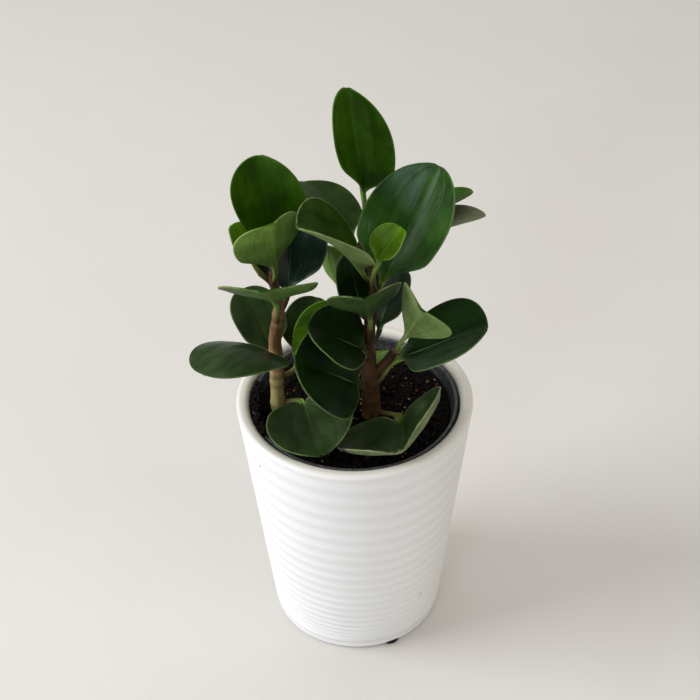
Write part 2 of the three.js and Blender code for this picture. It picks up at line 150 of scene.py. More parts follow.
def discOutline(radius, low, high, rounding):
    slight = 0.3 * rounding
    return [(radius - rounding, low), (radius - slight, low + slight), (radius, low + rounding),
            (radius, high - rounding), (radius - rounding, high)]


def carve(piece, outline, around, centres):
    # cuts a turned shape out of the piece at each centre
    cutters = []
    for centre in centres:
        mesh = newMesh("cutter", ringPoints(outline, around, centre), loftFaces(len(outline), around))
        cutters.append(newObject("cutter", mesh))
        cut = piece.modifiers.new("cut", "BOOLEAN")
        cut.object, cut.operation, cut.solver = cutters[-1], "DIFFERENCE", "EXACT"
    bpy.context.view_layer.update()
    carved = bpy.data.meshes.new_from_object(piece.evaluated_get(bpy.context.evaluated_depsgraph_get()))
    piece.modifiers.clear()
    piece.data = carved
    for cutter in cutters:
        bpy.data.objects.remove(cutter)


def smoothStep(low, high, value):
    share = np.clip((np.asarray(value, float) - low) / (high - low), 0, 1)
    return share * share * (3 - 2 * share)


def wobble(x, y, z, size):
    return noise.noise(Vector((x / size, y / size, z / size)))


# camera, at the photograph's viewing angle
cameraLook = {"place": (0.0, -713.17, 767.96), "pitch": 39.583, "roll": -0.922, "yaw": -0.165, "lens": 92.571}


def makeCamera(look):
    pitch, roll, yaw = (radians(look[k]) for k in ("pitch", "roll", "yaw"))
    forward = Vector((sin(yaw) * cos(pitch), cos(yaw) * cos(pitch), -sin(pitch)))
    level = Vector((cos(yaw), -sin(yaw), 0))
    upright = level.cross(forward)
    right = cos(roll) * level + sin(roll) * upright
    up = -sin(roll) * level + cos(roll) * upright
    data = bpy.data.cameras.new("photoCamera")
    data.sensor_width = 36
    data.lens = look["lens"]
    data.clip_start, data.clip_end = 0.05, 30
    camera = newObject("photoCamera", data)
    turn = Matrix((right, up, -forward)).transposed().to_4x4()
    camera.matrix_world = Matrix.Translation(Vector(look["place"]) * mm) @ turn
    scene.camera = camera


makeCamera(cameraLook)

# daylight from a large window on the left, a pale room all round
lightLook = {
    # place, aim and size in metres, power in watts, colour
    "window": ((-1.6, -0.2, 1.0), (0, 0, 0.2), (1.1, 1.4), 27, "#f7f9ff"),
    "glassDoor": ((-0.85, -1.95, 0.5), (0, 0, 0.22), (0.45, 0.7), 8.5, "#d9e6ff"),
    "room": ((1.6, -1.2, 1.3), (0, 0, 0.15), (1.8, 1.6), 8.5, "#fff3e6"),
    "ceiling": ((0.1, 0.4, 2.2), (0, 0, 0.1), (2.2, 2.2), 17, "#ffffff"),
}
airLook = {"colour": "#f2f1ef", "strength": 0.4, "gamma": 0.9}


def makeLights(look, air):
    for name, (place, aim, size, power, colour) in look.items():
        data = bpy.data.lights.new(name + "Light", "AREA")
        data.shape = "RECTANGLE"
        data.size, data.size_y = size
        data.energy = power
        data.color = toLinear(colour)[:3]
        lamp = newObject(name + "Light", data)
        lamp.location = place
        towards = Vector(aim) - lamp.location
        lamp.rotation_euler = towards.to_track_quat("-Z", "Y").to_euler()
    world = bpy.data.worlds.new("paleRoom")
    world.use_nodes = True
    background = world.node_tree.nodes["Background"]
    background.inputs["Color"].default_value = toLinear(air["colour"])
    background.inputs["Strength"].default_value = air["strength"]
    scene.world = world
    scene.view_settings.view_transform = "Standard"
    scene.view_settings.gamma = air["gamma"]


makeLights(lightLook, airLook)
print("camera and lights set")

# floor: matt painted board, a plain pale surface with a faint unevenness
floorLook = {"colour": "#e4e1db", "mottle": "#dfdbd4", "size": 8000, "mottlesPerMetre": 9, "roughness": 0.6}


def makeFloor(look):
    material, tree, spot = newMaterial("paintedBoard")
    cloud = addNode(tree, "TexNoise", {"Vector": spot, "Scale": look["mottlesPerMetre"], "Detail": 3})
    tint = addNode(tree, "Mix", {0: cloud, 6: look["colour"], 7: look["mottle"]})
    shader = addNode(tree, "BsdfPrincipled", {"Base Color": tint, "Roughness": look["roughness"]})
    half = look["size"] / 2
    corners = [(-half, -half, 0), (half, -half, 0), (half, half, 0), (-half, half, 0)]
    floor = newObject("floor", newMesh("floor", corners, [(0, 1, 2, 3)]))
    floor.data.materials.append(finished(material, shader))


makeFloor(floorLook)

# cover pot: glazed earthenware, thrown on a wheel
coverPotLook = {
    "height": 147, "rimRadius": 62.5, "footRadius": 46, "footRounding": 3, "lipWidth": 7, "lipRounding": 3,
    "floorThickness": 7, "innerFootRadius": 39.5, "ridges": 22, "ridgeTop": 143.3, "ridgeBottom": 7,
    "ridgeSpread": 1.8, "ridgeDepth": 0.52, "around": 240, "perRidge": 8, "innerSteps": 24,
    "handWobble": 0.16, "wobbleSize": 22, "speckSpacing": 7, "speckRarity": 0.93, "peelSize": 2.2,
    "glaze": "#f1f1ef", "grooveShadeGlaze": "#ecebe7", "lipTint": "#ece7dc", "fleck": "#6b5a45",
}


def glazedEarthenware(look):
    # White tin glaze fired over thrown clay: soft satin sheen, a little thinner and warmer
    # on the lip, painted shade greying the grooves and the inside, and a few tiny iron specks.
    material, tree, spot = newMaterial("glazedEarthenware")
    shape = addNode(tree, "UVMap", uv_map="potMap")
    parts = addNode(tree, "SeparateXYZ", {0: shape})
    cells = addNode(tree, "TexVoronoi", {"Vector": spot, "Scale": 1 / (look["speckSpacing"] * mm),
                                         "Randomness": 1.0})
    dot = addNode(tree, "MapRange", {0: cells.outputs["Distance"], 1: 0.05, 2: 0.1, 3: 1.0, 4: 0.0})
    rare = addNode(tree, "SeparateColor", {0: cells.outputs["Color"]})
    chosen = addNode(tree, "Math", {0: rare.outputs[0], 1: look["speckRarity"]}, operation="GREATER_THAN")
    speck = addNode(tree, "Math", {0: dot, 1: chosen}, operation="MULTIPLY")
    colour = look["glaze"]
    grooveAndShade, lip = parts.outputs[0], parts.outputs[1]
    # painted shade: the glaze greys where the groove share is high, in the grooves and over the inside
    for share, layer in ((grooveAndShade, "grooveShadeGlaze"), (lip, "lipTint"), (speck, "fleck")):
        colour = addNode(tree, "Mix", {0: share, 6: colour, 7: look[layer]})
    peel = addNode(tree, "TexNoise", {"Vector": spot, "Scale": 1 / (look["peelSize"] * mm), "Detail": 4})
    sheen = addNode(tree, "MapRange", {0: peel, 1: 0.3, 2: 0.7, 3: 0.36, 4: 0.5})
    bump = addNode(tree, "Bump", {"Height": peel, "Strength": 0.12, "Distance": 0.25 * mm})
    shader = addNode(tree, "BsdfPrincipled", {
        "Base Color": colour, "Roughness": sheen, "Normal": bump,
        "IOR": 1.5, "Coat Weight": 0.15, "Coat Roughness": 0.25})
    return finished(material, shader)


def makeCoverPot(look):
    height, foot, lip, low = look["height"], look["footRounding"], look["lipRounding"], look["floorThickness"]
    rim, lipInside, inner = look["rimRadius"], look["rimRadius"] - look["lipWidth"], look["innerFootRadius"]

    def wall(z):
        return look["footRadius"] + (rim - look["footRadius"]) * z / height

    # radius, height, share of groove and of painted shade, share of lip
    outline = [(0.01, 0, 0, 0)]
    outline += [(r, z, 0, 0) for r, z in arc((look["footRadius"] - foot, foot), foot, -90, 0)]
    outline.append((wall(5) - 0.1, 5, 0.2, 0))
    for step in range(look["ridges"] * look["perRidge"]):
        spread = (step / look["perRidge"] / look["ridges"]) ** look["ridgeSpread"]
        z = look["ridgeBottom"] + (look["ridgeTop"] - look["ridgeBottom"]) * spread
        grooveAndShade = 0.5 + 0.5 * cos(2 * pi * (step % look["perRidge"]) / look["perRidge"])
        outline.append((wall(z) - look["ridgeDepth"] * grooveAndShade, z, grooveAndShade, 0))
    outline.append((wall(look["ridgeTop"]) - look["ridgeDepth"], look["ridgeTop"], 1, 0.2))
    lipArc = arc((rim - lip, height - lip), lip, 25, 90)
    outline += [(r, z, 0, 0.3 + 0.7 * i / 8) for i, (r, z) in enumerate(lipArc)]
    outline += [(r, z, 0, 1) for r, z in arc((lipInside + lip, height - lip), lip, 90, 180)]
    # the inside wall and floor take painted shade through their groove share
    for i in range(1, look["innerSteps"]):
        share = i / look["innerSteps"]
        outline.append((lipInside + (inner - lipInside) * share,
                        height - lip + (low + 4 - height + lip) * share, 0.5, 0.4))
    outline += [(inner, low + 4, 1, 0), (inner - 4, low, 1, 0), (0.01, low, 1, 0)]

    points, shares = [], []
    count = look["around"]
    for radius, z, grooveAndShade, lipShare in outline:
        outside = 4 < z < 144 and radius > 45
        for k in range(count):
            angle = 2 * pi * k / count
            x, y = cos(angle), sin(angle)
            drift = look["handWobble"] * wobble(60 * x, 60 * y, z * 2.2, look["wobbleSize"]) if outside else 0
            points.append(((radius + drift) * x, (radius + drift) * y, z))
            shares.append((grooveAndShade, lipShare))
    return addPiece("coverPotThrown", points, loftFaces(len(outline), count), [glazedEarthenware(look)],
                    ["cover_pot"], maps={"potMap": shares})


coverPot = makeCoverPot(coverPotLook)
print("cover pot made")

# foot pads: moulded rubber discs let into the foot
footPadLook = {"radius": 5, "thickness": 1.8, "atRadius": 41.5, "firstAngle": -65, "clearance": 0.3,
               "rounding": 0.4, "around": 48, "rubber": "#151515", "grain": 0.4}


def mouldedRubber(look):
    # Black nitrile rubber, moulded: dead matt with a faint bloom.
    material, tree, spot = newMaterial("mouldedRubber")
    grain = addNode(tree, "TexNoise", {"Vector": spot, "Scale": 1 / (look["grain"] * mm), "Detail": 3})
    rough = addNode(tree, "MapRange", {0: grain, 3: 0.7, 4: 0.9})
    bump = addNode(tree, "Bump", {"Height": grain, "Strength": 0.2, "Distance": 0.05 * mm})
    shader = addNode(tree, "BsdfPrincipled", {
        "Base Color": look["rubber"], "Roughness": rough, "Normal": bump})
    return finished(material, shader)


def makeFootPads(look, pot):
    rubber = mouldedRubber(look)
    around = look["around"]
    centres = [polar(look["atRadius"], radians(look["firstAngle"] + 120 * n)) for n in range(3)]
    pad = discOutline(look["radius"], 0, look["thickness"], look["rounding"])
    faces = loftFaces(len(pad), around)
    for number, centre in enumerate(centres, 1):
        addPiece(f"footPadMoulded{number}", ringPoints(pad, around, centre), faces, [rubber],
                 [f"foot_pad_{number}"])
    recess = discOutline(look["radius"] + look["clearance"], -1, look["thickness"] + look["clearance"], 0.05)
    carve(pot, recess, around, centres)


makeFootPads(footPadLook, coverPot)
print("foot pads made")

# nursery pot: injection-moulded black polypropylene
nurseryPotLook = {
    "rimTop": 144.6, "rimRadius": 54.3, "rimHeight": 8, "wall": 1.3, "shoulderRadius": 51.5, "footRadius": 42,
    "footHeight": 35, "around": 160, "drainHoles": 6, "drainRadius": 4, "drainRing": 26, "drainAround": 32,
    "black": "#4b4c4d", "scuff": "#686969", "dustSize": 4, "roughness": (0.2, 0.34),
}


def mouldedPolypropylene(look):
    # Black polypropylene from a polished mould: satin, with faint flow marks and dust.
    material, tree, spot = newMaterial("mouldedPolypropylene")
    dust = addNode(tree, "TexNoise", {"Vector": spot, "Scale": 1 / (look["dustSize"] * mm), "Detail": 6,
                                      "Roughness": 0.7})
    worn = addNode(tree, "MapRange", {0: dust, 1: 0.45, 2: 0.75})
    tint = addNode(tree, "Mix", {0: worn, 6: look["black"], 7: look["scuff"]})
    rough = addNode(tree, "MapRange", {0: dust, 1: 0.3, 2: 0.7, 3: look["roughness"][0],
                                       4: look["roughness"][1]})
    bump = addNode(tree, "Bump", {"Height": dust, "Strength": 0.15, "Distance": 0.2 * mm})
    shader = addNode(tree, "BsdfPrincipled", {
        "Base Color": tint, "Roughness": rough, "Normal": bump, "IOR": 1.49})
    return finished(material, shader)


def nurseryInnerRadius(height):
    p = nurseryPotLook
    rise = (height - p["footHeight"]) / (p["rimTop"] - p["rimHeight"] - p["footHeight"])
    return p["footRadius"] + (p["shoulderRadius"] - p["footRadius"]) * rise - p["wall"]


def makeNurseryPot(look):
    top, rim, foot, wall = look["rimTop"], look["rimRadius"], look["footHeight"], look["wall"]
    shoulder, footRadius, inner = top - look["rimHeight"], look["footRadius"], nurseryInnerRadius
    outline = [(0.01, foot), (footRadius - 1, foot), (footRadius - 0.3, foot + 0.3), (footRadius, foot + 1),
               (look["shoulderRadius"], shoulder), (rim - 1.2, shoulder + 0.35), (rim - 0.6, shoulder + 0.7),
               (rim - 0.1, shoulder + 1.6), (rim, top - 2)]
    outline += arc((rim - 1, top - 1), 1, 0, 180, 6)
    outline += [(rim - 2.3, top - 3), (rim - 2.6, shoulder + 2.5), (inner(shoulder) + 0.2, shoulder + 0.8),
                (inner(shoulder - 3), shoulder - 3), (inner(foot + 4), foot + 4),
                (inner(foot + 2), foot + wall + 0.6), (footRadius - wall - 1, foot + wall),
                (0.01, foot + wall)]
    around = look["around"]
    pot = addPiece("nurseryPotMoulded", ringPoints(outline, around), loftFaces(len(outline), around),
                   [mouldedPolypropylene(look)], ["nursery_pot"])
    holes = look["drainHoles"]
    centres = [polar(look["drainRing"], 2 * pi * n / holes) for n in range(holes)]
    carve(pot, discOutline(look["drainRadius"], foot - 3, foot + 4, 0.05), look["drainAround"], centres)


makeNurseryPot(nurseryPotLook)
print("nursery pot made")

# stems: where their axes run, and the joints the leaves leave from
stemLook = {
    # x, y, z and radius along each axis
    "left": [(-39, 0, 112, 3.5), (-40, -2, 138, 3.8), (-40.3, -2, 158, 3.5), (-40, -2, 170, 3.5),
             (-40.2, -2, 187, 3.3), (-38.4, -2, 200, 3.0), (-37.2, -2, 213, 2.5), (-39.6, -2, 224, 2.2),
             (-39.8, -2, 231, 1.8)],
    "right": [(9, -6, 108, 4.4), (9, -7, 138, 4.9), (8.4, -7, 154, 4.6), (8, -7, 167, 4.2),
              (7.6, -7, 184, 3.0), (7.8, -7, 197, 2.8), (9.3, -7, 210, 2.7), (10.4, -4.5, 220, 2.6),
              (8.8, 1, 228.5, 2.3), (5.4, 7, 235, 1.9), (3.4, 10.5, 239, 1.1)],
    "shoot": [(8.5, -7, 163, 2.2), (10.8, -7.4, 169, 2.2), (17.3, -8, 178.4, 2.2), (20.2, -8, 184, 1.9)],
    "rings": {"left": 170, "right": 170, "shoot": 40}, "sides": 28,
    "swelling": 0.28, "swellingSpread": 3.0, "lumps": 0.35, "lumpSize": 7,
    "corkRings": ((3.4, 0.8, 0.1), (4.6, 0.7, -0.1)),  # how far below a joint, how wide and how high
    "wrinkles": ((0.10, 5, 0.11), (0.07, 9, -0.07)),  # how high, how many round the stem, and their twist
}

# leaves: placed as their solids are
leafRows = {
    # joint, base, heading, rise, roll, length, width, fold, cup, bend, skew, widest, top, underside
    "left": [
        (229, (-38.5, 3, 241), 130, 78, -20, 51, 40, 20, 14, 0, -14, 0.6, "leafGreen", "pale"),
        (225, (-38, -6, 234), -90, 64, 30, 48, 38, 20, 3, 0, 4, 0.56, "leafGreen", "young"),
        (224, (-50, -0.5, 238.5), 134, 58, 10, 19, 17, 11, 5, 16, 0, 0.56, "lime", "young"),
        (203, (-33, 6, 212), 68, 77, 22, 46, 38, 16, 7, 8, 10, 0.56, "night", "pale"),
        (198, (-38.5, -9, 216), -97, 48, 6, 47, 49, 10, 3, 6, 0, 0.62, "olive", "pale"),
        (166, (-41.5, 5, 171), 122, 44, -2, 39, 29, 14, 5, 10, 0, 0.56, "dusty", "pale"),
        (172, (-38, -9, 179), -148, 60, 18, 58, 46, -2, -9, 76, 3, 0.56, "dusty", "pale"),
        (160, (-28.5, 10.5, 163.5), 63, 54, 24, 34, 28, 14, 6, 10, 0, 0.56, "dusty", "pale"),
        (146, (-27, -9, 150), -75, 3, 13, 41, 49, 17, 13, 7, -2, 0.56, "dusty", "pale"),
    ],
    "right": [
        (237, (5.8, 28, 255.6), 130, 79, -20, 57.5, 41.5, 34, 22, 2, -20, 0.56, "leafGreen", "pale"),
        (216, (14, -2, 222), 37, 52, 14, 67, 51.5, 19, 11, -13, 7, 0.53, "broad", "pale"),
        (225, (5, -11, 236), -138, 61, -18, 59, 42, 28, 7, 24, 0, 0.6, "olive", "sage"),
        (218, (12, -12, 242), 38, 50, -7, 21.5, 23, 19, 8, 15, 0, 0.56, "lime", "young"),
        (233, (0, 14.3, 238.8), 120, 36, 26, 42.5, 33.5, 9, 3, 39, -4, 0.56, "olive", "pale"),
        (205, (15, 18, 234.6), 28, 20, -20, 53, 24, 12, 3, 10, 0, 0.56, "leafGreen", "pale"),
        (210, (22, 13, 234), 22, 22, -20, 48, 32, 11, 2, 23, 0, 0.56, "ashen", "pale"),
        (203, (3, -4, 208), 118, 72, 0, 31, 24, 15, 5, 6, 5, 0.56, "deep", "pale"),
        (196, (8.3, -12.5, 208.5), -96, 54, 17, 44, 39.5, 17, 8, 6, 0, 0.6, "olive", "dusk"),
        (184, (13, 2, 189), 62, 50, -22, 34, 30, 13, 6, 13, 0, 0.56, "deep", "pale"),
        (183, (24, -17.5, 198), -59, 58, -74, 55.5, 35, 16, 3, 20, -4, 0.74, "leafGreen", "sage"),
        (160, (23, -9, 179), -16, 35, 14, 54.5, 44, 15, 5, 1, -1, 0.56, "ribbed", "pale"),
        (184, (3.8, -14, 190), -160, 39, -20, 37, 42, 11, 2, -4, -16, 0.38, "deep", "pale"),
        (163, (1.3, -16.8, 169), -156, 41, -41, 45.5, 50, 13, 4, -2, 0, 0.45, "deep", "pale"),
        (143, (24, -17.5, 144.5), -83, 3, 29, 43, 70, 15, 23, -38, 0, 0.5, "dusty", "grey"),
        (182, (2, 4.5, 188), 190, -2, -44, 34, 35, 16, 6, 16, -14, 0.56, "lime", "young"),
        (194, (-6, 13.5, 204), -125, 84, 8, 34, 22, 14, 4, 8, 0, 0.56, "lime", "young"),
        (152, (12, 5, 160), 74, 0, -28, 24, 24, 12, 3, 26, 0, 0.56, "lime", "young"),
    ],
}
leafFields = ("joint", "base", "heading", "rise", "roll", "length", "width", "fold", "cup", "bend", "skew",
              "widest", "top", "underside")
youngLeaves = {"left": (2, 3), "right": (4, 6, 11, 16, 17, 18)}
duskyPetioles = {"left": (4,), "right": (8, 10, 13, 14, 16, 18)}
leavesOnShoot = {"left": (), "right": (11,)}
leafCurl = {"right_leaf_15": 1.7}  # how far a turned-up margin stands above its blade
leafLobes = {  # how far the two halves of a heart-shaped base reach back
    "left_leaf_09": (4, 4), "right_leaf_13": (1, 5), "right_leaf_14": (3, 3), "right_leaf_15": (6, 1.5),
}


def listLeaves():
    leaves = []
    for side, rows in leafRows.items():
        for number, row in enumerate(rows, 1):
            leaf = dict(zip(leafFields, row), name=f"{side}_leaf_{number:02d}")
            leaf["stem"] = "shoot" if number in leavesOnShoot[side] else side
            leaf["age"] = "young_leaf" if number in youngLeaves[side] else "mature_leaf"
            leaf["petiole"] = "dusky" if number in duskyPetioles[side] else "pale"
            leaves.append(leaf)
    return leaves


def axisLine(name, perSpan=12):
    points = np.array(stemLook[name], float)
    padded = np.vstack([2 * points[0] - points[1], points, 2 * points[-1] - points[-2]])
    line = []
    for i in range(1, len(padded) - 2):
        a, b, c, d = padded[i - 1:i + 3]
        for s in np.arange(perSpan) / perSpan:
            line.append(0.5 * (2 * b + (c - a) * s + (2 * a - 5 * b + 4 * c - d) * s ** 2
                               + (3 * b - a - 3 * c + d) * s ** 3))
    line.append(points[-1])
    return np.array(line)


leaves = listLeaves()
axisLines = {name: axisLine(name) for name in ("left", "right", "shoot")}


def pointOnStem(name, height):
    line = axisLines[name]
    return np.array([np.interp(height, line[:, 2], line[:, i]) for i in range(3)])


barkLook = {
    "driftSize": 7, "drift": 0.14, "fibreSizes": (0.7, 0.7, 9), "fibres": 0.4, "grainSize": 0.9,
    "scarReach": (0.2, 2.4), "scars": 0.42, "skinHeights": (138.5, 145.0), "bumpDepth": 0.35,
    "roughness": (0.38, 0.62),
}
stemFinish = {
    # green bark at the foot, taupe and brown above, dark rings at the leaf joints
    "left": {"heights": (138, 160, 170, 200, 231), "scar": "#4a3020", "fibre": "#b99b78", "skin": "#b0915a",
             "colours": ("#a8a067", "#9c8e5a", "#a07f5a", "#8d6a4e", "#583729")},
    "right": {"heights": (138, 160, 185, 215, 239), "scar": "#2c1c11", "fibre": "#8c6c46", "skin": "#c29a5c",
              "colours": ("#6c4e2d", "#543c22", "#48321e", "#3c2919", "#3e2a1b")},
}


def stemBark(name, look, bark):
    # Young bark over green tissue: waxy satin, fine lengthwise fibres, corky rings at the joints.
    material, tree, spot = newMaterial(name)
    shape = addNode(tree, "UVMap", uv_map="stemMap")
    parts = addNode(tree, "SeparateXYZ", {0: shape})
    low, high = look["heights"][0], look["heights"][-1]
    climb = addNode(tree, "MapRange", {0: parts.outputs[1], 1: low, 2: high})
    drift = addNode(tree, "TexNoise", {"Vector": spot, "Scale": 1 / (bark["driftSize"] * mm), "Detail": 4})
    moved = addNode(tree, "Math", {0: drift, 1: bark["drift"], 2: climb}, operation="MULTIPLY_ADD")
    centred = addNode(tree, "Math", {0: moved, 1: bark["drift"] / 2}, operation="SUBTRACT")
    ramp = addNode(tree, "ValToRGB", {0: centred})
    setStops(ramp, [(height - low) / (high - low) for height in look["heights"]], look["colours"])
    squeezed = addNode(tree, "Mapping", {0: spot, 3: [1 / (size * mm) for size in bark["fibreSizes"]]})
    strands = addNode(tree, "TexNoise", {"Vector": squeezed, "Scale": 1.0, "Detail": 3})
    strandShare = addNode(tree, "MapRange", {0: strands, 1: 0.5, 2: 0.8, 3: 0.0, 4: bark["fibres"]})
    near, far = bark["scarReach"]
    scarShare = addNode(tree, "MapRange", {0: parts.outputs[0], 1: near, 2: far, 3: bark["scars"], 4: 0.0})
    low, high = bark["skinHeights"]
    foot = addNode(tree, "MapRange", {0: parts.outputs[1], 1: low, 2: high, 3: 1.0, 4: 0.0})
    flaking = addNode(tree, "MapRange", {0: strands, 1: 0.42, 2: 0.6})
    skinShare = addNode(tree, "Math", {0: foot, 1: flaking}, operation="MULTIPLY")
    colour = ramp
    for share, layer in ((strandShare, "fibre"), (scarShare, "scar"), (skinShare, "skin")):
        colour = addNode(tree, "Mix", {0: share, 6: colour, 7: look[layer]})
    grain = addNode(tree, "TexNoise", {"Vector": spot, "Scale": 1 / (bark["grainSize"] * mm), "Detail": 5})
    relief = addNode(tree, "Math", {0: strands, 1: grain}, operation="ADD")
    bump = addNode(tree, "Bump", {"Height": relief, "Strength": 0.35, "Distance": bark["bumpDepth"] * mm})
    smooth, rough = bark["roughness"]
    dull = addNode(tree, "MapRange", {0: grain, 1: 0.3, 2: 0.7, 3: smooth, 4: rough})
    shader = addNode(tree, "BsdfPrincipled", {
        "Base Color": colour, "Roughness": dull, "Normal": bump,
        "IOR": 1.45, "Specular IOR Level": 0.3})
    return finished(material, shader)


def stemRadius(joints, z, angle, radius):
    look = stemLook
    ringed = max(exp(-((z - joint) / look["swellingSpread"]) ** 2) for joint in joints)
    corky = sum(sum(high * exp(-((z - joint + below) / wide) ** 2)
                    for below, wide, high in look["corkRings"]) for joint in joints)
    wrinkled = sum(high * sin(count * angle + z * twist) for high, count, twist in look["wrinkles"])
    lumps = look["lumps"] * wobble(*polar(8, angle), z, look["lumpSize"])
    return radius + look["swelling"] * ringed + corky + wrinkled + lumps


def stemMesh(name):
    joints = [leaf["joint"] for leaf in leaves if leaf["stem"] == name]
    line, rings, sides = axisLines[name], stemLook["rings"][name], stemLook["sides"]
    places = np.linspace(0, len(line) - 1, rings)
    centres = np.array([[np.interp(p, np.arange(len(line)), line[:, i]) for i in range(4)] for p in places])
    points, marks = [], []
    for i, (_, _, z, radius) in enumerate(centres):
        ahead, behind = centres[min(i + 1, rings - 1), :3], centres[max(i - 1, 0), :3]
        tangent = (ahead - behind) / np.linalg.norm(ahead - behind)
        first = np.array((1, 0, 0)) - tangent * tangent[0]
        first /= np.linalg.norm(first)
        second = np.cross(tangent, first)
        nearest = min(abs(z - joint + 1.5) for joint in joints)
        for k in range(sides):
            angle = 2 * pi * k / sides
            reach = stemRadius(joints, z, angle, radius)
            points.append(centres[i, :3] + reach * (cos(angle) * first + sin(angle) * second))
            marks.append((nearest, z))
    return points, loftFaces(rings, sides), marks


def makeStems():
    for side in ("left", "right"):
        points, faces, marks = stemMesh(side)
        if side == "right":
            more, moreFaces, moreMarks = stemMesh("shoot")
            faces += [tuple(len(points) + k for k in face) for face in moreFaces]
            points, marks = points + more, marks + moreMarks
        bark = stemBark(side + "StemBark", stemFinish[side], barkLook)
        addPiece(side + "StemGrown", points, faces, [bark], [side + "_stem"],
                 maps={"stemMap": marks})


makeStems()
print("stems made")

# leaf finishes
finishFields = ("shade", "light", "vein", "rib", "rim", "neck", "veinShare", "ribReach", "roughness",
                "specular", "glow")
leafTops = {
    # darker and lighter green, veins, rib, rim, colour at the petiole, how strong the veins are,
    # how far the rib shows, and the settings of the wax
    "deep": ("#11240a", "#1d380f", "#0d1c08", "#6c8a4c", "#66794a", "#2f4218", 0.3, 0.6, 0.33, 0.2, 0.0),
    "ribbed": ("#183010", "#28481b", "#12260c", "#8fae7c", "#62774c", "#5f7f3a", 0.35, 0.95, 0.3, 0.25, 0.0),
    "night": ("#0f2318", "#1e3a2c", "#08170b", "#3c5c40", "#56705a", "#5f7f3a", 0.3, 0.9, 0.25, 0.6, 0.0),
    "broad": ("#24460f", "#3d6423", "#1d3a0c", "#436a2c", "#5d7d3f", "#6b8a3a", 0.25, 0.5, 0.3, 0.34, 0.03),
    "leafGreen": ("#2a4a06", "#41690c", "#234005", "#4f7818", "#4c6d20", "#84a04f",
                  0.25, 0.35, 0.4, 0.2, 0.05),
    "olive": ("#213808", "#355012", "#1c2f07", "#4f6a22", "#8b8f62", "#84a04f", 0.25, 0.4, 0.38, 0.2, 0.0),
    "dusty": ("#2a3c1a", "#40542c", "#243314", "#5d7640", "#6d8050", "#6f8a44", 0.3, 0.5, 0.33, 0.22, 0.0),
    "ashen": ("#606648", "#7d8262", "#575c40", "#7a7f5c", "#7d8260", "#84915a", 0.25, 0.5, 0.45, 0.2, 0.0),
    "lime": ("#426500", "#638f00", "#3a5a00", "#86a636", "#7d9c3a", "#84a04f", 0.2, 0.7, 0.4, 0.22, 0.12),
}
leafUndersides = {
    "dusk": ("#2f4420", "#47602f", "#2a3d1c", "#5d7540", "#7a8a5c", "#7f9a4c", 0.25, 0.6, 0.5, 0.2, 0.0),
    "pale": ("#48602f", "#637e44", "#41572a", "#7d965a", "#7a9055", "#84a04f", 0.25, 0.8, 0.5, 0.2, 0.05),
    "young": ("#647f38", "#84a151", "#5a7632", "#9bb26a", "#9aab6c", "#8aa653", 0.25, 0.8, 0.46, 0.2, 0.1),
    "sage": ("#627541", "#7c8f58", "#526534", "#8c9c66", "#8a9865", "#84a04f", 0.25, 0.8, 0.48, 0.2, 0.08),
    "grey": ("#66714d", "#828c66", "#5c6745", "#8f9873", "#a0a684", "#7f8a52", 0.25, 0.6, 0.5, 0.2, 0.05),
}
petioleLooks = {
    # colours from the stem to the blade
    "pale": ("#573024", "#80854a", "#84a04f"),
    "dusky": ("#3f251c", "#4a4428", "#34461c"),
}
petioleStops, petioleRoughness, petioleSpecular = (0.12, 0.62, 1.0), 0.42, 0.2
cuticleLook = {
    "ior": 1.45, "cloudSize": 13, "poreSize": 0.8, "pores": 0.12, "veinWidth": 0.14, "ribEnd": 0.9,
    "ribWidths": (1.3, 0.15), "neckEnd": 0.13, "rimReach": (0.05, 0.38), "bumpDepth": 0.45,
    "glowRadius": (0.8, 1.0, 0.3), "glowDepth": 1.2,
}


